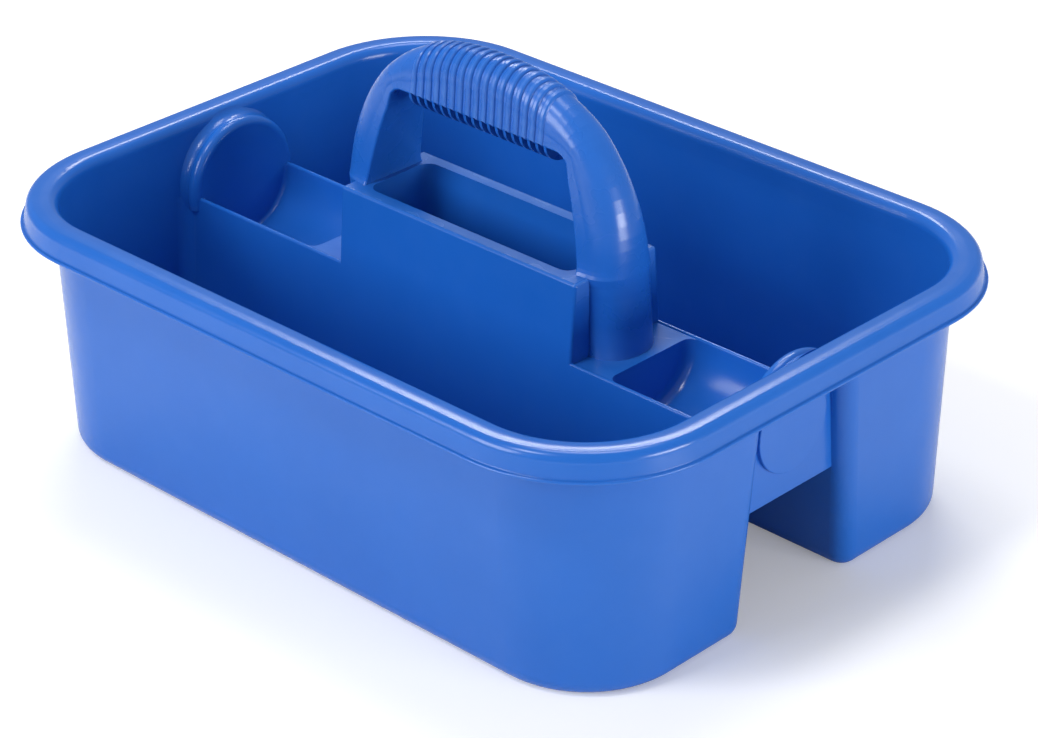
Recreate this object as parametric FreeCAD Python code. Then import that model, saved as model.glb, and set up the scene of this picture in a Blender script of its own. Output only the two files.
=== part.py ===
import FreeCAD, Part
import os, math
from FreeCAD import Vector

# Two-bin cleaning caddy with a raised middle spine and an arched carry handle.
# Units mm. +Z up, origin on the floor under the middle of the caddy,
# X along the long side, front bin at -Y, back bin at +Y.

os.makedirs("parts", exist_ok=True)

SIDES = (-1, 1)

# --- tub ---
WALL = 2.8                 # nominal wall
FLOOR_T = 3.0
RIM_HALF_X = 233.35        # outer edge of the rolled rim
RIM_HALF_Y = 176.2
RIM_R = 81.5               # corner radius at the rim edge
RIM_OVERHANG = 17.95       # rim edge outside the wall it rolls over
Z_SKIRT = 133.5            # lower edge of the rim skirt
Z_RIM = 148.4              # top of the rim
TOP_X = RIM_HALF_X - RIM_OVERHANG      # drafted wall at the skirt height
TOP_Y = RIM_HALF_Y - RIM_OVERHANG
TOP_R = RIM_R - RIM_OVERHANG
BASE_X, BASE_Y, BASE_R = 211.2, 152.3, 57.0    # the same wall at the floor
BASE_FILLET = 8.0          # rounding under the bins
BIN_CORNER_R = 10.0        # vertical corners of a bin beside the spine

# --- spine between the bins, wider towards the floor ---
SPINE_HALF_TOP = 31.0      # half width at the top of the middle block
SPINE_SLOPE = 0.0782       # extra half width per mm below the block top
Z_BLOCK = 150.0            # top of the middle block
BLOCK_HALF_X = 86.0
BLOCK_FILLET = 1.8
Z_DECK = 105.0             # end decks and trough edges
DECK_T = 3.0
Z_DECK_UNDER = Z_DECK - DECK_T
DECK_HALF_X = 109.5        # inner end of the two end troughs

# --- half-round troughs along X ---
Z_AXIS = Z_DECK            # axis of the troughs and the round end bosses
TROUGH_R = 31.7            # inside radius
SKIN_R = TROUGH_R + WALL
TROUGH_DECK_FILLET, TROUGH_BOSS_FILLET = 6.0, 2.0
BEAD_R = 1.2               # rounded bead along each trough edge
BEAD_Y = 33.1
BEAD_DROP = 0.3            # bead centre below the deck
BEAD_OVERLAP = 1.0         # bead run-in at both ends

# --- pocket in the middle block ---
POCKET_HALF_X, POCKET_HALF_Y = 74.0, 23.0
POCKET_R = 7.0
POCKET_DRAFT = 0.03
Z_POCKET_FLOOR = 62.0
Z_POCKET_UNDER = Z_POCKET_FLOOR - WALL

# --- end walls at the spine ---
BOSS_FACE_X = 200.4        # flat face looking along the trough
BOSS_FACE_R = 32.6
BOSS_RING_R = 37.4
BOSS_BACK_X = BOSS_FACE_X + 13.0
BOSS_LOW_Z = 98.0          # lower end of the boss collar
WEB_OUT_X = 204.0          # outside face of the end web
APRON_Z = 63.0             # lower edge of the end web
FILL_LOW_Z = 96.0          # wall fill between the bins, above the tunnel
FILL_DEPTH, FILL_HALF_Y = 20.0, 46.0
PAD_R, PAD_T = 26.1, 2.4   # raised round pad on the outside face
PAD_DROP, PAD_FILLET = 2.5, 0.6
CORNER_LOW_Z, CORNER_TOP_Z = 90.0, 118.0   # where the bins' rounded corners stand free
CORNER_GAP, CORNER_HALF_Y = 1.2, 43.0

# --- cutting and limiting bodies, larger than what they trim ---
TOOL_HALF_X = 260.0
TOOL_HALF_Y = 60.0
TOOL_LOW_Z = -20.0
TOOL_DEPTH = 40.0

# --- handle ---
ARCH_A, ARCH_Z0, ARCH_H, ARCH_N = 101.0, 139.0, 102.6, 2.37    # superellipse of the ridge
FOOT_X = 104.2             # ridge at the deck
FAN_Z = Z_BLOCK            # arch sections fan out from (0, FAN_Z)
BULGE = 17.0               # depth of the rounded outer side of the section
CAP_POWER = 2.15           # superellipse power of that rounding
HAND_T = 3.0               # handle wall
LEG_INNER_X = 77.0
LEG_STRAIGHT = 2.0         # upright start of the inner line above the block
LEG_LEAN, LEG_CURVE = 9.6, 3.1     # linear and cubic parts of its lean
LEG_TOP_X = LEG_INNER_X - LEG_LEAN - LEG_CURVE
LEG_TOP_Z = 199.5          # start of the corner under the grip
UNDER_CORNER_R = 8.5
GRIP_UNDER_Z = 209.5       # lower edge of the grip
SOCKET_GAP = 0.12          # play around a foot in the block

# heights of the level leg sections, and angles of the fanned ones, in degrees from X
LEG_HEIGHTS = (Z_DECK, 116, 127, 138, 145)
FAN_ANGLES = (0, 1.2, 2.6, 5, 8.5, 12, 16, 20, 24, 28, 31.5, 35, 38, 41, 44)
CAVITY_HEIGHTS = (Z_DECK - 1, 120, 135, 146)
CAVITY_ANGLES = (0, 8, 17, 27, 37)
SOCKET_HEIGHTS = (Z_DECK, 120, 135, 146, Z_BLOCK - 0.01)
# sections turning upright at the grip ends: x at the underside, x at the ridge
GRIP_ENDS = ((57.2, 66.0), (54.6, 60.5), (52.4, 55.4))

# bands around the grip, and the plates below them
RIB_COUNT = 17
RIB_PITCH = 5.75
RIB_W = 4.1
RIB_H = 1.15
RIB_X = [(i - (RIB_COUNT - 1) / 2.0) * RIB_PITCH for i in range(RIB_COUNT)]
# one band: distance along the grip, growth of the section
RIB_PROFILE = (
    (-RIB_W / 2, 0.0), (-RIB_W / 2 + 0.45, RIB_H * 0.6), (-RIB_W / 2 + 1.25, RIB_H),
    (RIB_W / 2 - 1.25, RIB_H), (RIB_W / 2 - 0.45, RIB_H * 0.6), (RIB_W / 2, 0.0))
FIN_T = 1.6                # material left between the grip hollows
FIN_GAP = RIB_PITCH - FIN_T
PLATE_T = FIN_T + 0.24     # plates overlap the material they stand on
PLATE_DEPTH, PLATE_TOP = 11.0, 3.0
PLATE_LIFT, PLATE_SIDE_GAP = 0.6, 0.55
HOLLOW_START = 2.0         # the grip hollows start this far below its lower edge
HOLLOW_H, END_HOLLOW_H, END_HOLLOW_L = 18.0, 13.0, 6.0
NOTCH_R = FIN_GAP / 2 - 0.2
NOTCH_HALF_L = 30.0

# --- screws holding the handle from below the decks ---
SCREW_D, SCREW_HEAD_D, SCREW_HEAD_H, SCREW_LEN = 4.0, 8.2, 2.8, 19.0
SCREW_X, SCREW_Y = 88.5, 10.5
SCREW_POSITIONS = [(sx * SCREW_X, sy * SCREW_Y) for sx in SIDES for sy in SIDES]
SCREW_CLEARANCE = 0.2      # on the radius, through the deck
THREAD_DEPTH, THREAD_PITCH = 0.35, 1.6
SLOT_L, SLOT_W, SLOT_H = 4.6, 0.9, 1.9
POST_R, POST_H = 4.6, 26.0
POST_WEB_T, POST_WEB_L = 2.2, 12.0


# ---------------------------------------------------------------------------
# shared shapes
# ---------------------------------------------------------------------------
def lerp(a, b, t):
    return a + (b - a) * t


def loft(wires):
    """ruled solid through the wires"""
    return Part.makeLoft(wires, True, True)


def profile_edges(start, steps, place):
    """edges from start; a step (end,) is a line and (middle, end) an arc"""
    edges = []
    for step in steps:
        points = [place(*p) for p in (start,) + step]
        if len(points) == 2:
            edges.append(Part.makeLine(*points))
        else:
            edges.append(Part.Arc(*points).toShape())
        start = step[-1]
    return edges


def profile_face(start, steps, place):
    return Part.Face(Part.Wire(profile_edges(start, steps, place)))


def arc(x, y, r, start_angle, z):
    """level quarter circle, counter-clockwise"""
    angles = [math.radians(start_angle + turn) for turn in (0, 45, 90)]
    points = [Vector(x + r * math.cos(a), y + r * math.sin(a), z) for a in angles]
    return Part.Arc(*points).toShape()


def rounded_wire(x0, x1, y0, y1, radii, z):
    """level rounded rectangle, radii at (x1,y0) (x1,y1) (x0,y1) (x0,y0)"""
    r1, r2, r3, r4 = radii
    return Part.Wire([
        Part.makeLine(Vector(x0 + r4, y0, z), Vector(x1 - r1, y0, z)),
        arc(x1 - r1, y0 + r1, r1, -90, z),
        Part.makeLine(Vector(x1, y0 + r1, z), Vector(x1, y1 - r2, z)),
        arc(x1 - r2, y1 - r2, r2, 0, z),
        Part.makeLine(Vector(x1 - r2, y1, z), Vector(x0 + r3, y1, z)),
        arc(x0 + r3, y1 - r3, r3, 90, z),
        Part.makeLine(Vector(x0, y1 - r3, z), Vector(x0, y0 + r4, z)),
        arc(x0 + r4, y0 + r4, r4, 180, z)])


def side_box(side, x_near, x_far, half_y, z_low, z_high):
    """box centred on Y, between two distances from the middle on the side's half of X"""
    x = x_near if side > 0 else -x_far
    return Part.makeBox(x_far - x_near, 2 * half_y, z_high - z_low, Vector(x, -half_y, z_low))


def fillet_level_edges(solid, z, radius):
    """round the edges lying flat at height z"""
    edges = [e for e in solid.Edges
             if abs(e.BoundBox.ZMax - z) < 1e-6 and abs(e.BoundBox.ZMin - z) < 1e-6]
    return solid.makeFillet(radius, edges)


# ---------------------------------------------------------------------------
# tub: outlines and bodies
# ---------------------------------------------------------------------------
def tub_dims(z):
    """half length, half width and corner radius of the drafted wall"""
    t = z / Z_SKIRT
    return lerp(BASE_X, TOP_X, t), lerp(BASE_Y, TOP_Y, t), lerp(BASE_R, TOP_R, t)


def spine_half(z):
    return SPINE_HALF_TOP + SPINE_SLOPE * (Z_BLOCK - z)


def spine_prism(inset, z_low, z_high, x0, x1):
    """length of the spine between two heights, its sides pulled in by inset"""
    low, high = spine_half(z_low) - inset, spine_half(z_high) - inset
    corners = [(-low, z_low), (low, z_low), (high, z_high), (-high, z_high), (-low, z_low)]
    outline = Part.makePolygon([Vector(x0, y, z) for y, z in corners])
    return Part.Face(outline).extrude(Vector(x1 - x0, 0, 0))


def bin_wire(side, z, inset):
    """plan outline of one bin; side -1 front, +1 back"""
    half_x, half_y, r = [size - inset for size in tub_dims(z)]
    spine_y = spine_half(z) - WALL + inset
    c = BIN_CORNER_R - inset
    if side < 0:
        return rounded_wire(-half_x, half_x, -half_y, -spine_y, (r, c, c, r), z)
    return rounded_wire(-half_x, half_x, spine_y, half_y, (c, r, r, c), z)


def bin_solid(side, z_low, inset):
    solid = loft([bin_wire(side, z_low, inset), bin_wire(side, Z_SKIRT, inset)])
    return fillet_level_edges(solid, z_low, BASE_FILLET - inset)


# Section of the rolled rim: (distance out from the wall, z)
RIM_START = (-WALL, Z_SKIRT)
RIM_STEPS = [
    ((-WALL, Z_RIM - 6.5),),                                           # inside wall
    ((-WALL + 1.75, Z_RIM - 2.1), (-WALL + 6.2, Z_RIM - 0.25)),        # inner rolled edge
    ((6.4, Z_RIM), (9.6, Z_RIM - 0.35)),                               # crowned top
    ((13.2, Z_RIM - 1.9), (14.7, Z_RIM - 5.4)),                        # outer rolled edge
    ((16.1, Z_SKIRT + 2.6),),                                          # flared skirt
    ((16.5, Z_SKIRT + 2.1), (17.1, Z_SKIRT + 2.0)),
    ((RIM_OVERHANG, Z_SKIRT + 1.0), (17.1, Z_SKIRT)),                  # bead
    ((13.4, Z_SKIRT),),
    ((11.9, Z_RIM - 5.8),),                                            # inside of the skirt
    ((10.9, Z_RIM - 3.9), (8.9, Z_RIM - 3.1)),
    ((2.4, Z_RIM - 3.1),),
    ((0.7, Z_RIM - 3.8), (0.0, Z_RIM - 5.5)),
    ((0.0, Z_SKIRT),),
    (RIM_START,)]


def rim_face(place):
    return profile_face(RIM_START, RIM_STEPS, place)


def make_rim():
    cx, cy = TOP_X - TOP_R, TOP_Y - TOP_R
    pieces = []
    for sx, sy in ((1, -1), (1, 1), (-1, 1), (-1, -1)):
        face = rim_face(lambda out, z: Vector(sx * cx + sx * (TOP_R + out), sy * cy, z))
        pieces.append(face.revolve(Vector(sx * cx, sy * cy, 0), Vector(0, 0, 1), 90 * sx * sy))
    for sx in (1, -1):
        face = rim_face(lambda out, z: Vector(sx * (TOP_X + out), -cy, z))
        pieces.append(face.extrude(Vector(0, 2 * cy, 0)))
    for sy in (1, -1):
        face = rim_face(lambda out, z: Vector(-cx, sy * (TOP_Y + out), z))
        pieces.append(face.extrude(Vector(2 * cx, 0, 0)))
    return pieces[0].multiFuse(pieces[1:])


def half_pipe(r, x0, x1, z_top):
    """half round below the trough axis, straight above it"""
    steps = [((0, Z_AXIS - r), (r, Z_AXIS)), ((r, z_top),), ((-r, z_top),), ((-r, Z_AXIS),)]
    face = profile_face((-r, Z_AXIS), steps, lambda y, z: Vector(x0, y, z))
    return face.extrude(Vector(x1 - x0, 0, 0))


def trough(side):
    """inside of one end trough, its ends rounded"""
    z_top = Z_DECK + 2
    ends = [(DECK_HALF_X, TROUGH_DECK_FILLET), (BOSS_FACE_X, TROUGH_BOSS_FILLET)]
    if side < 0:
        ends = [(-x, radius) for x, radius in reversed(ends)]
    solid = half_pipe(TROUGH_R, ends[0][0], ends[1][0], z_top)
    for x, radius in ends:
        edges = [e for e in solid.Edges
                 if abs(e.BoundBox.XMin - x) < 1e-6 and abs(e.BoundBox.XMax - x) < 1e-6
                 and e.BoundBox.ZMin < z_top - 1]
        solid = solid.makeFillet(radius, edges)
    return solid


def trough_bead(side, y_side):
    x = BLOCK_HALF_X - BEAD_OVERLAP if side > 0 else -BOSS_FACE_X - BEAD_OVERLAP
    return Part.makeCylinder(BEAD_R, BOSS_FACE_X + 2 * BEAD_OVERLAP - BLOCK_HALF_X,
                             Vector(x, y_side * BEAD_Y, Z_DECK - BEAD_DROP), Vector(1, 0, 0))


def boss(side):
    """round boss standing in from the end wall, turned about the trough axis"""
    face_x, face_r, ring_r = BOSS_FACE_X, BOSS_FACE_R, BOSS_RING_R
    steps = [
        ((face_x, face_r),),
        ((face_x + 2.1, face_r + 4.9), (face_x + 7.0, ring_r - 0.4)),
        ((face_x + 10.6, ring_r + 1.0), (BOSS_BACK_X, ring_r + 4.0)),
        ((BOSS_BACK_X, 0),),
        ((face_x, 0),)]
    face = profile_face((face_x, 0), steps, lambda x, r: Vector(side * x, 0, Z_AXIS + r))
    return face.revolve(Vector(0, 0, Z_AXIS), Vector(1, 0, 0), 360)


def pocket_solid(z_low, z_high, grow):
    wires = []
    for z in (z_low, z_high):
        draft = POCKET_DRAFT * (Z_BLOCK - z)
        half_x = POCKET_HALF_X - draft + grow
        half_y = POCKET_HALF_Y - draft + grow
        r = POCKET_R + grow * 0.5
        wires.append(rounded_wire(-half_x, half_x, -half_y, half_y, (r, r, r, r), z))
    return loft(wires)


def make_block():
    """middle block, soft along its top"""
    block = spine_prism(0, Z_DECK, Z_BLOCK, -BLOCK_HALF_X, BLOCK_HALF_X)
    edges = [e for e in block.Edges if max(v.Z for v in e.Vertexes) > Z_BLOCK - 0.1]
    return block.makeFillet(BLOCK_FILLET, edges)


def end_fill(side):
    """end wall above the tunnel, flush with the bins"""
    low_x, high_x = tub_dims(FILL_LOW_Z)[0], tub_dims(Z_SKIRT)[0]
    inner_x = low_x - FILL_DEPTH
    corners = [(inner_x, FILL_LOW_Z), (low_x, FILL_LOW_Z), (high_x, Z_SKIRT),
               (inner_x, Z_SKIRT), (inner_x, FILL_LOW_Z)]
    outline = Part.makePolygon([Vector(side * x, -FILL_HALF_Y, z) for x, z in corners])
    return Part.Face(outline).extrude(Vector(0, 2 * FILL_HALF_Y, 0))


def space_above_decks(block):
    """open space over the decks, leaving the block and the bosses"""
    wires = []
    for z in (Z_DECK, Z_SKIRT):
        half_x = tub_dims(z)[0] - WALL
        wires.append(rounded_wire(-half_x, half_x, -TOOL_HALF_Y, TOOL_HALF_Y, (2, 2, 2, 2), z))
    return loft(wires).cut(block).cut(boss(1)).cut(boss(-1))


def underside_void():
    """hollow below the spine, less the skins of what hangs into it"""
    tunnel = spine_prism(WALL, TOOL_LOW_Z, Z_DECK_UNDER, -TOOL_HALF_X, TOOL_HALF_X)
    block_void = spine_prism(WALL, Z_DECK_UNDER, Z_BLOCK - WALL,
                             -BLOCK_HALF_X + WALL, BLOCK_HALF_X - WALL)
    skin_x = DECK_HALF_X - WALL
    keeps = [half_pipe(SKIN_R, skin_x, WEB_OUT_X, Z_DECK + 1),
             half_pipe(SKIN_R, -WEB_OUT_X, -skin_x, Z_DECK + 1),
             pocket_solid(Z_POCKET_UNDER, Z_BLOCK, WALL)]
    # end webs below the troughs
    keeps += [side_box(side, WEB_OUT_X - WALL, WEB_OUT_X, TOOL_HALF_Y, APRON_Z, 120)
              for side in SIDES]
    # decks under the handle feet
    keeps += [side_box(side, POCKET_HALF_X, DECK_HALF_X, TOOL_HALF_Y, Z_DECK_UNDER, Z_DECK)
              for side in SIDES]
    void = tunnel.fuse(block_void)
    for keep in keeps:
        void = void.cut(keep)
    return void


def shape_end_outside(body, side, bins):
    """recess and round pad outside one end web, between the bins' rounded corners"""
    outward = Vector(side, 0, 0)
    recess_r = spine_half(Z_AXIS) - WALL - 0.2
    recess = Part.makeCylinder(recess_r, TOOL_DEPTH, Vector(side * WEB_OUT_X, 0, Z_AXIS), outward)
    below_rim = side_box(1, -TOOL_HALF_X, TOOL_HALF_X, TOOL_HALF_Y, 0, Z_SKIRT - 2)
    low_recess = spine_prism(WALL, TOOL_LOW_Z, Z_AXIS,
                             side * WEB_OUT_X, side * (WEB_OUT_X + TOOL_DEPTH))
    body = body.cut(recess.common(below_rim)).cut(low_recess)
    # carve the fill between the bins back to their rounded corners
    gap_x = WEB_OUT_X + CORNER_GAP
    gap = side_box(side, gap_x, gap_x + 30, CORNER_HALF_Y, CORNER_LOW_Z, CORNER_TOP_Z)
    body = body.cut(gap.cut(bins[0]).cut(bins[1]))
    pad = Part.makeCylinder(PAD_R, PAD_T, Vector(side * WEB_OUT_X, 0, Z_AXIS - PAD_DROP), outward)
    edges = [e for e in pad.Edges
             if abs(e.BoundBox.XMax - e.BoundBox.XMin) < 1e-6
             and abs(abs(e.BoundBox.XMax) - WEB_OUT_X - PAD_T) < 1e-3]
    return body.fuse(pad.makeFillet(PAD_FILLET, edges))


def cut_handle_seats(body):
    """foot sockets in the block and screw holes through the decks"""
    for side in SIDES:
        body = body.cut(loft([leg_section(side, z, -SOCKET_GAP) for z in SOCKET_HEIGHTS]))
        for x, y in SCREW_POSITIONS:
            if x * side > 0:
                body = body.cut(Part.makeCylinder(SCREW_D / 2 + SCREW_CLEARANCE, 10,
                                                  Vector(x, y, Z_DECK - 6), Vector(0, 0, 1)))
    return body


def make_tub():
    bins = [bin_solid(side, 0, 0) for side in SIDES]
    spine = spine_prism(0, Z_POCKET_UNDER, Z_DECK, -WEB_OUT_X, WEB_OUT_X)
    block = make_block()
    rim = make_rim()
    body = bins[0].multiFuse([bins[1], spine, block] + [end_fill(side) for side in SIDES])

    # upper side
    for side in SIDES:
        body = body.cut(bin_solid(side, FLOOR_T, WALL))
    body = body.cut(space_above_decks(block))
    # the boss collars end just below the trough edges
    for side in (1, -1):
        limit = side_box(side, 180, 220, TOOL_HALF_Y, BOSS_LOW_Z, BOSS_LOW_Z + 200)
        body = body.fuse(boss(side).common(limit))
    body = body.fuse(rim)
    for side in SIDES:
        body = body.cut(trough(side))
    for side in SIDES:
        for y_side in SIDES:
            body = body.fuse(trough_bead(side, y_side))
    body = body.cut(pocket_solid(Z_POCKET_FLOOR, Z_BLOCK + 1, 0))

    # underside and end faces
    body = body.cut(underside_void())
    for side in SIDES:
        body = shape_end_outside(body, side, bins)
    return cut_handle_seats(body)


# ---------------------------------------------------------------------------
# carry handle: lines of the arch
# ---------------------------------------------------------------------------
def ridge_z(x):
    return ARCH_Z0 + ARCH_H * (1 - (abs(x) / ARCH_A) ** ARCH_N) ** (1 / ARCH_N)


def ridge_x(z):
    """ridge of a leg: straight up to ARCH_Z0, then on the arch"""
    if z < ARCH_Z0:
        return lerp(FOOT_X, ARCH_A, (z - Z_DECK) / (ARCH_Z0 - Z_DECK))
    return ARCH_A * (1 - ((z - ARCH_Z0) / ARCH_H) ** ARCH_N) ** (1 / ARCH_N)


def ridge_at(theta):
    """(x, z) of the ridge seen from the fan centre under theta, found by bisection"""
    low, high = 60.0, 140.0
    for _ in range(50):
        middle = (low + high) / 2
        x, z = middle * math.cos(theta), FAN_Z + middle * math.sin(theta)
        if (x / ARCH_A) ** ARCH_N + ((z - ARCH_Z0) / ARCH_H) ** ARCH_N < 1:
            low = middle
        else:
            high = middle
    return low * math.cos(theta), FAN_Z + low * math.sin(theta)


def inner_line():
    """(x, z) points of the arch's underside at +X, from the block to mid grip"""
    z_start = FAN_Z + LEG_STRAIGHT
    points = [(LEG_INNER_X, FAN_Z), (LEG_INNER_X, z_start)]
    for i in range(1, 16):
        t = i / 15.0
        points.append((LEG_INNER_X - LEG_LEAN * t - LEG_CURVE * t ** 3,
                       lerp(z_start, LEG_TOP_Z, t)))
    # rounded corner to the level underside
    r = UNDER_CORNER_R
    cx, cz = LEG_TOP_X - r * 0.955, GRIP_UNDER_Z - r
    start = math.atan2(LEG_TOP_Z - cz, LEG_TOP_X - cx)
    for i in range(1, 13):
        angle = lerp(start, math.pi / 2, i / 12.0)
        points.append((cx + r * math.cos(angle), cz + r * math.sin(angle)))
    points.append((0.0, GRIP_UNDER_Z))
    return points


INNER_LINE = inner_line()


def inner_at(theta):
    """(x, z) where the ray under theta from the fan centre meets the inner line"""
    c, s = math.cos(theta), math.sin(theta)
    for (xa, za), (xb, zb) in zip(INNER_LINE[:-1], INNER_LINE[1:]):
        before = (za - FAN_Z) * c - xa * s
        after = (zb - FAN_Z) * c - xb * s
        if before <= 0 <= after:
            t = before / (before - after)
            return lerp(xa, xb, t), lerp(za, zb, t)
    raise ValueError(theta)


def half_widths(z):
    """half width at the inner edge, and where the rounding starts"""
    t = min(max((z - Z_BLOCK) / 55.0, 0.0), 1.0)
    # small flare where the leg meets the block top
    flare = 1.3 * math.exp(-(z - Z_BLOCK) / 2.2) if z >= Z_BLOCK else 0.0
    return lerp(21.0, 14.6, t) + flare, lerp(20.2, 13.4, t) + flare * 0.7


# ---------------------------------------------------------------------------
# carry handle: sections
# ---------------------------------------------------------------------------
def d_section(inner, ridge, inset=0.0, grow=0.0):
    """D-shaped section from inner to ridge, both (x, z): flat at inner, round at ridge.
    inset pulls in the whole outline, grow widens it and deepens its rounding."""
    inner_half, round_half = [half + grow - inset for half in half_widths(inner[1])]
    dx, dz = ridge[0] - inner[0], ridge[1] - inner[1]
    length = math.hypot(dx, dz)
    ux, uz = dx / length, dz / length
    end = length - inset
    bulge = min(BULGE + grow - inset, 0.72 * (end - inset))
    cap_start = end - bulge
    corner = max(1.6 - 0.6 * inset, 0.4)
    near, far = corner * 0.293, inset + corner
    far_half = inner_half - (inner_half - round_half) / (cap_start - inset) * corner

    def place(along, y):
        return Vector(inner[0] + ux * along, y, inner[1] + uz * along)

    start = (inset, -inner_half + corner)
    edges = profile_edges(start, [
        ((inset, inner_half - corner),),
        ((inset + near, inner_half - near), (far, far_half)),
        ((cap_start, round_half),)], place)
    cap, count = [], 12
    for i in range(count + 1):
        angle = math.pi / 2 - math.pi * i / count
        c, s = math.cos(angle), math.sin(angle)
        cap.append(place(cap_start + bulge * abs(c) ** (2 / CAP_POWER),
                         round_half * math.copysign(abs(s) ** (2 / CAP_POWER), s)))
    curve = Part.BSplineCurve()
    curve.interpolate(Points=cap, Parameters=[i / float(count) for i in range(count + 1)])
    edges.append(curve.toShape())
    edges += profile_edges((cap_start, -round_half), [
        ((far, -far_half),),
        ((inset + near, -inner_half + near), start)], place)
    return Part.Wire(edges)


def leg_section(side, z, inset=0.0):
    """level section through a leg, below the top of the block"""
    return d_section((side * LEG_INNER_X, z), (side * ridge_x(z), z), inset)


def fan_section(side, degrees, inset=0.0):
    theta = math.radians(degrees)
    (xi, zi), (xr, zr) = inner_at(theta), ridge_at(theta)
    return d_section((side * xi, zi), (side * xr, zr), inset)


def grip_section(inner_x, outer_x, grow=0.0):
    return d_section((inner_x, GRIP_UNDER_Z), (outer_x, ridge_z(outer_x) + grow), grow=grow)


# ---------------------------------------------------------------------------
# carry handle: solids
# ---------------------------------------------------------------------------
def make_arch():
    """legs and banded grip as one run of sections, +X foot to -X foot"""
    def leg(side):
        return ([leg_section(side, z) for z in LEG_HEIGHTS]
                + [fan_section(side, a) for a in FAN_ANGLES]
                + [grip_section(side * xi, side * xr) for xi, xr in GRIP_ENDS])

    grip = [grip_section(x - dx, x - dx, grow) for x in reversed(RIB_X) for dx, grow in RIB_PROFILE]
    return loft(leg(1) + grip + leg(-1)[::-1])


def leg_cavity(side):
    """hollow of a leg, open below, around posts for the screws"""
    cavity = loft([leg_section(side, z, HAND_T) for z in CAVITY_HEIGHTS]
                  + [fan_section(side, a, HAND_T) for a in CAVITY_ANGLES])
    x, z = side * SCREW_X, Z_DECK - 2
    for y_side in SIDES:
        y = y_side * SCREW_Y
        post = Part.makeCylinder(POST_R, POST_H, Vector(x, y, z), Vector(0, 0, 1))
        web_y = min(y, y + y_side * POST_WEB_L)
        web = Part.makeBox(POST_WEB_T, POST_WEB_L, POST_H, Vector(x - POST_WEB_T / 2, web_y, z))
        cavity = cavity.cut(post.fuse(web))
    return cavity


def grip_plate(x, half_y):
    """thin cross plate with a rounded lower edge"""
    points, count = [], 20
    for i in range(count + 1):
        angle = -math.pi * i / count
        points.append(Vector(x - PLATE_T / 2, (half_y - PLATE_SIDE_GAP) * math.cos(angle),
                             GRIP_UNDER_Z + PLATE_LIFT + PLATE_DEPTH * math.sin(angle)))
    curve = Part.BSplineCurve()
    curve.interpolate(points)
    up = Vector(0, 0, PLATE_TOP)
    top = Part.makePolygon([points[-1], points[-1] + up, points[0] + up, points[0]])
    return Part.Face(Part.Wire([curve.toShape()] + top.Edges)).extrude(Vector(PLATE_T, 0, 0))


def make_handle():
    grip_half = half_widths(GRIP_UNDER_Z)[0]
    hollow_half = grip_half - HAND_T
    hollow_z = GRIP_UNDER_Z - HOLLOW_START
    cutters = [side_box(1, x - FIN_GAP / 2, x + FIN_GAP / 2, hollow_half,
                        hollow_z, hollow_z + HOLLOW_H) for x in RIB_X]
    end_x = RIB_COUNT / 2.0 * RIB_PITCH + FIN_T / 2
    cutters += [side_box(side, end_x, end_x + END_HOLLOW_L, hollow_half,
                         hollow_z, hollow_z + END_HOLLOW_H) for side in SIDES]
    for side in SIDES:
        cutters.append(leg_cavity(side))
        cutters += [Part.makeCylinder(SCREW_D / 2, 20, Vector(x, y, Z_DECK - 1), Vector(0, 0, 1))
                    for x, y in SCREW_POSITIONS if x * side > 0]
    handle = make_arch().cut(cutters)

    # rounded notches through both side walls, between the plates
    handle = handle.cut([
        Part.makeCylinder(NOTCH_R, 2 * NOTCH_HALF_L, Vector(x, -NOTCH_HALF_L, GRIP_UNDER_Z),
                          Vector(0, 1, 0)) for x in RIB_X])
    for i in range(RIB_COUNT + 1):
        fused = handle.fuse(grip_plate((i - RIB_COUNT / 2.0) * RIB_PITCH, grip_half))
        # a failed fuse gives a null shape; that plate is then left out
        if not fused.isNull():
            handle = fused
    return handle


# ---------------------------------------------------------------------------
# screws
# ---------------------------------------------------------------------------
def make_screw(x, y):
    """cross-slotted screw pointing up, its head below the deck"""
    z_seat = Z_DECK_UNDER
    z_head = z_seat - SCREW_HEAD_H
    z_tip = z_seat + SCREW_LEN
    head_r, thread_r = SCREW_HEAD_D / 2, SCREW_D / 2
    core_r = thread_r - THREAD_DEPTH
    # (radius, z) up the screw
    outline = [(0, z_head), (2.2, z_head), (head_r - 0.5, z_head + 1.0),
               (head_r, z_seat - 0.6), (head_r, z_seat), (core_r, z_seat)]
    z = z_seat + 1.2
    while z < z_tip - 3.0:
        outline += [(core_r, z), (thread_r, z + 0.45), (core_r, z + 0.9)]
        z += THREAD_PITCH
    outline += [(core_r, z_tip - 2.4), (0.3, z_tip), (0, z_tip), (0, z_head)]
    face = Part.Face(Part.makePolygon([Vector(r, 0, height) for r, height in outline]))
    screw = face.revolve(Vector(0, 0, 0), Vector(0, 0, 1), 360)
    for angle in (0, 90):
        slot = Part.makeBox(SLOT_L, SLOT_W, SLOT_H, Vector(-SLOT_L / 2, -SLOT_W / 2, z_head - 0.1))
        slot.rotate(Vector(0, 0, 0), Vector(0, 0, 1), angle)
        screw = screw.cut(slot)
    screw.translate(Vector(x, y, 0))
    return screw


make_tub().exportStep("parts/tub_body.step")
make_handle().exportStep("parts/carry_handle.step")
screws = Part.makeCompound([make_screw(x, y) for x, y in SCREW_POSITIONS])
screws.exportStep("parts/handle_screws.step")
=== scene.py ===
"""A blue moulded plastic tub with a carry handle and zinc handle screws, on white paper.

Metres, +Z up. The tub stands at the origin with the paper just under z = 0.
The front is -Y and the right is +X; the camera looks down from the front right.
"""
import math
import bpy
import bmesh
from mathutils import Vector, Matrix

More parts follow.
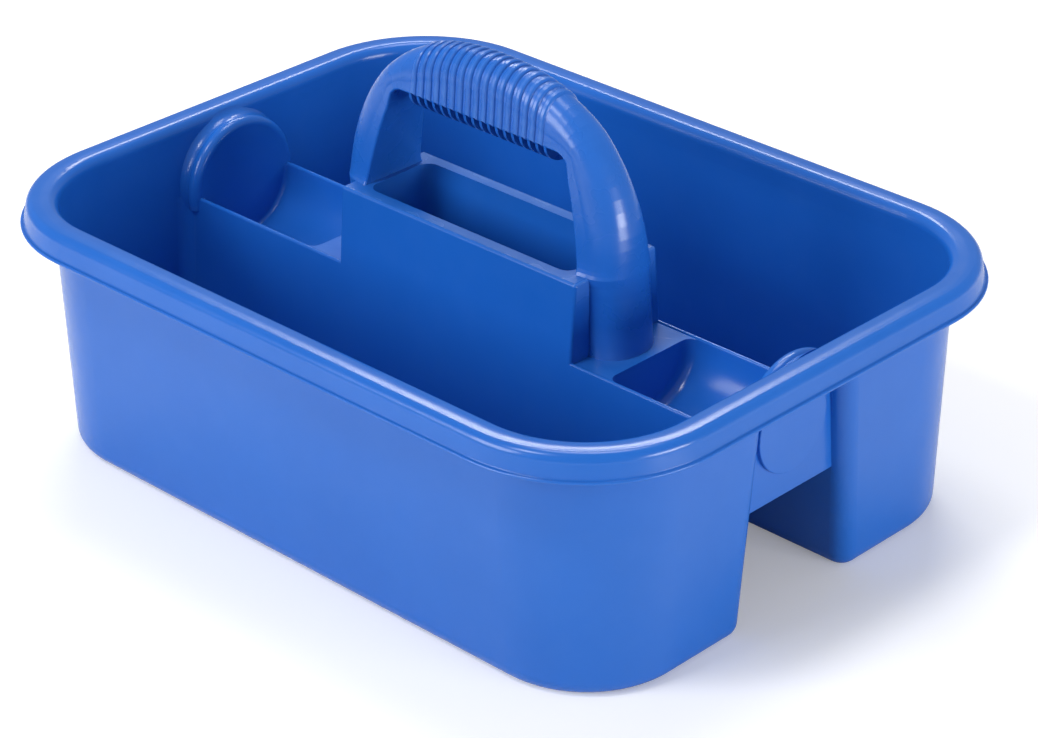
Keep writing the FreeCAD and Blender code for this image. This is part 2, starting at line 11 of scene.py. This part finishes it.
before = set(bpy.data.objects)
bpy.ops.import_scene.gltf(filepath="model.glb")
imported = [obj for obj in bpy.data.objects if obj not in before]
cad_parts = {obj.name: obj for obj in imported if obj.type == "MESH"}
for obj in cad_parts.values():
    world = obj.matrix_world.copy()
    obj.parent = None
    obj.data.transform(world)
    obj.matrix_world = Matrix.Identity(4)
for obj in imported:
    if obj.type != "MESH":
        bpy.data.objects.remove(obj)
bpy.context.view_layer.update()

scene = bpy.context.scene

# linear RGB
TUB_BLUE, TUB_DEEP = (0.013, 0.132, 0.545), (0.011, 0.121, 0.512)
HANDLE_BLUE, HANDLE_DEEP = (0.014, 0.134, 0.552), (0.012, 0.122, 0.520)
SCUFF_PALE = (0.080, 0.230, 0.640)
ZINC_LIGHT, ZINC_DARK = (0.60, 0.61, 0.63), (0.42, 0.43, 0.44)
PAPER_DARK, PAPER_LIGHT = (0.90, 0.90, 0.90), (0.93, 0.93, 0.93)
BLACK = (0, 0, 0)
WHITE = (1, 1, 1, 1)

PAPER_HALF = 1.9       # half the side of the square paper
PAPER_Z = -0.0002      # just below the tub, so the two never coincide


# ---------------------------------------------------------------------------
# shader node helpers: a value is a plain number or colour, or a socket to link
# ---------------------------------------------------------------------------
def add_node(tree, kind, inputs=None):
    node = tree.nodes.new("ShaderNode" + kind)
    set_inputs(tree, node, inputs or {})
    return node


def set_inputs(tree, node, inputs):
    for key, value in inputs.items():
        if isinstance(value, bpy.types.NodeSocket):
            tree.links.new(value, node.inputs[key])
        else:
            node.inputs[key].default_value = value


def new_material(name):
    """An empty material with a Principled shader wired to its output."""
    material = bpy.data.materials.new(name)
    material.use_nodes = True
    tree = material.node_tree
    tree.nodes.clear()
    output = add_node(tree, "OutputMaterial")
    shader = add_node(tree, "BsdfPrincipled")
    tree.links.new(shader.outputs["BSDF"], output.inputs["Surface"])
    return material, tree, shader, output


def object_coords(tree):
    return add_node(tree, "TexCoord").outputs["Object"]


def noise(tree, coords, scale, detail, roughness):
    return add_node(tree, "TexNoise", {
        "Scale": scale, "Detail": detail, "Roughness": roughness, "Vector": coords,
    }).outputs["Fac"]


def remap(tree, value, source, target):
    """Map the (low, high) range source onto target, clamped."""
    return add_node(tree, "MapRange", {
        "From Min": source[0], "From Max": source[1],
        "To Min": target[0], "To Max": target[1], "Value": value,
    }).outputs["Result"]


def calculate(tree, operation, first, second):
    node = add_node(tree, "Math")
    node.operation = operation
    set_inputs(tree, node, {0: first, 1: second})
    return node.outputs[0]


def mix_colour(tree, factor, a, b):
    node = add_node(tree, "Mix")
    node.data_type = "RGBA"
    for key, colour in (("A", a), ("B", b)):
        plain = isinstance(colour, tuple)
        node.inputs[key].default_value = (*(colour if plain else BLACK), 1)
        if not plain:
            tree.links.new(colour, node.inputs[key])
    set_inputs(tree, node, {"Factor": factor})
    return node.outputs["Result"]


def bump(tree, height, strength, distance, **below):
    """A bump normal; pass Normal= to lay it over another one."""
    return add_node(tree, "Bump", {
        "Strength": strength, "Distance": distance, "Height": height, **below,
    }).outputs["Normal"]


# ---------------------------------------------------------------------------
# materials
# ---------------------------------------------------------------------------
def plastic(name, base, deep, roughness, grain, specular):
    """Moulded polypropylene: slight tone drift, a fine eggshell skin, scuffed edges."""
    material, tree, shader, _ = new_material(name)
    coords = object_coords(tree)
    drift = noise(tree, coords, scale=9.0, detail=3.0, roughness=0.55)
    mottle = noise(tree, coords, scale=60.0, detail=2.0, roughness=0.5)
    skin = noise(tree, coords, scale=900.0, detail=2.0, roughness=0.5)

    tone = remap(tree, drift, source=(0.3, 0.7), target=(0.0, 1.0))
    colour = mix_colour(tree, tone, base, deep)
    flecks = remap(tree, mottle, source=(0.45, 0.75), target=(0.0, 0.03))
    colour = mix_colour(tree, flecks, colour, SCUFF_PALE)

    # convex edges are paler and rougher, in patches
    pointiness = add_node(tree, "NewGeometry").outputs["Pointiness"]
    edge = remap(tree, pointiness, source=(0.515, 0.60), target=(0.0, 0.38))
    patches = remap(tree, mottle, source=(0.35, 0.65), target=(0.35, 1.0))
    wear = calculate(tree, "MULTIPLY", edge, patches)
    colour = mix_colour(tree, wear, colour, SCUFF_PALE)
    sheen = remap(tree, mottle, source=(0.3, 0.7),
                  target=(roughness - 0.015, roughness + 0.03))
    wear_roughness = calculate(tree, "MULTIPLY", wear, 0.18)

    # fine skin grain, then the slow waviness of a moulded wall over it
    grain_normal = bump(tree, skin, strength=grain, distance=0.00012)
    waves = noise(tree, coords, scale=14.0, detail=2.0, roughness=0.4)
    set_inputs(tree, shader, {
        "Base Color": colour,
        "Roughness": calculate(tree, "ADD", sheen, wear_roughness),
        "IOR": 1.49,
        "Specular IOR Level": specular,
        "Normal": bump(tree, waves, strength=0.06, distance=0.0012, Normal=grain_normal),
    })
    return material


def zinc(name):
    """Mottled zinc plating with a fine grain."""
    material, tree, shader, _ = new_material(name)
    coords = object_coords(tree)
    mottle = noise(tree, coords, scale=300.0, detail=4.0, roughness=0.6)
    grain = noise(tree, coords, scale=1800.0, detail=2.0, roughness=0.5)
    tone = remap(tree, mottle, source=(0.35, 0.65), target=(0.0, 1.0))
    set_inputs(tree, shader, {
        "Base Color": mix_colour(tree, tone, ZINC_LIGHT, ZINC_DARK),
        "Metallic": 1.0,
        "Roughness": remap(tree, mottle, source=(0.3, 0.7), target=(0.26, 0.44)),
        "Normal": bump(tree, grain, strength=0.25, distance=0.00008),
    })
    return material


def paper(name):
    """Matt white paper, lifted a little for the camera and clear from below."""
    material, tree, shader, output = new_material(name)
    tone = noise(tree, object_coords(tree), scale=2.0, detail=2.0, roughness=0.5)
    camera_ray = add_node(tree, "LightPath").outputs["Is Camera Ray"]
    set_inputs(tree, shader, {
        "Base Color": mix_colour(tree, tone, PAPER_DARK, PAPER_LIGHT),
        "Roughness": 0.85,
        "Emission Color": WHITE,
        "Emission Strength": calculate(tree, "MULTIPLY", camera_ray, 0.22),
    })
    # the back face is transparent, so the tub can be looked at from underneath
    mix = add_node(tree, "MixShader", {
        0: add_node(tree, "NewGeometry").outputs["Backfacing"],
        1: shader.outputs["BSDF"],
        2: add_node(tree, "BsdfTransparent").outputs["BSDF"],
    })
    tree.links.new(mix.outputs[0], output.inputs["Surface"])
    return material


def assign(piece, material):
    if not piece.material_slots:
        piece.data.materials.append(material)
    for slot in piece.material_slots:
        slot.material = material


for piece_name, piece_material in (
    ("tub_body", plastic("tub_plastic", TUB_BLUE, TUB_DEEP,
                         roughness=0.22, grain=0.03, specular=0.46)),
    ("carry_handle", plastic("handle_plastic", HANDLE_BLUE, HANDLE_DEEP,
                             roughness=0.27, grain=0.02, specular=0.52)),
    ("handle_screws", zinc("screw_zinc")),
):
    assign(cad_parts[piece_name], piece_material)


# ---------------------------------------------------------------------------
# floor, lights, world, camera
# ---------------------------------------------------------------------------
def add_object(name, data):
    added = bpy.data.objects.new(name, data)
    scene.collection.objects.link(added)
    return added


def add_floor():
    mesh = bpy.data.meshes.new("studio_floor")
    bm = bmesh.new()
    bm.faces.new([bm.verts.new((x * PAPER_HALF, y * PAPER_HALF, PAPER_Z))
                  for x, y in ((-1, -1), (1, -1), (1, 1), (-1, 1))])
    bm.to_mesh(mesh)
    bm.free()
    floor = add_object("studio_floor", mesh)
    mesh.materials.append(paper("floor_paper"))


def add_area_light(name, place, target, size, watts):
    light = bpy.data.lights.new(name, "AREA")
    light.shape = "RECTANGLE"
    light.size, light.size_y = size
    light.energy = watts
    lamp = add_object(name, light)
    lamp.location = place
    aim = Vector(target) - Vector(place)
    lamp.rotation_euler = aim.to_track_quat("-Z", "Y").to_euler()


def add_world():
    """White to the camera, dimmer as a light."""
    world = bpy.data.worlds.new("studio")
    scene.world = world
    world.use_nodes = True
    tree = world.node_tree
    camera_ray = add_node(tree, "LightPath").outputs["Is Camera Ray"]
    set_inputs(tree, tree.nodes["Background"], {
        "Color": WHITE,
        "Strength": remap(tree, camera_ray, source=(0.0, 1.0), target=(0.34, 1.0)),
    })


def add_camera():
    data = bpy.data.cameras.new("camera")
    data.sensor_width = 36.0
    data.lens = 118.1313295
    data.shift_x = -0.04017341
    data.shift_y = -0.0039402697
    data.clip_end = 50
    camera = add_object("camera", data)

    azimuth = math.radians(43.24)      # from the front towards the right
    elevation = math.radians(28.47)
    back = Vector((math.sin(azimuth) * math.cos(elevation),
                   -math.cos(azimuth) * math.cos(elevation),
                   math.sin(elevation)))
    right = Vector((math.cos(azimuth), math.sin(azimuth), 0))
    up = back.cross(right)
    centre = Vector((0, 0, 0.1))
    place = back * 1.82502 + right * 0.03412 + up * -0.03513 + centre
    # the columns are the camera's own axes and its place
    camera.matrix_world = Matrix((
        *zip(right, up, back, place),
        (0, 0, 0, 1)))
    scene.camera = camera


add_floor()
# name, place, target, (width, height), watts
for light_row in (
    ("key_front", (-0.8, -2.3, 1.2), (0, 0, 0.08), (1.5, 1.1), 41),
    ("fill_right", (2.3, 0.3, 0.34), (0, 0, 0.06), (1.1, 0.5), 27),
    ("top_soft", (-0.3, 0.5, 2.2), (0, 0, 0.1), (0.9, 0.6), 12),
    ("back_rim", (-1.3, 1.4, 1.95), (0, 0, 0.15), (1.2, 0.3), 20),
    ("shoulder_glint", (-0.2, -1.3, 2.3), (0, 0, 0.15), (0.45, 0.45), 14),
):
    add_area_light(*light_row)
add_world()
add_camera()
scene.view_settings.view_transform = "Standard"
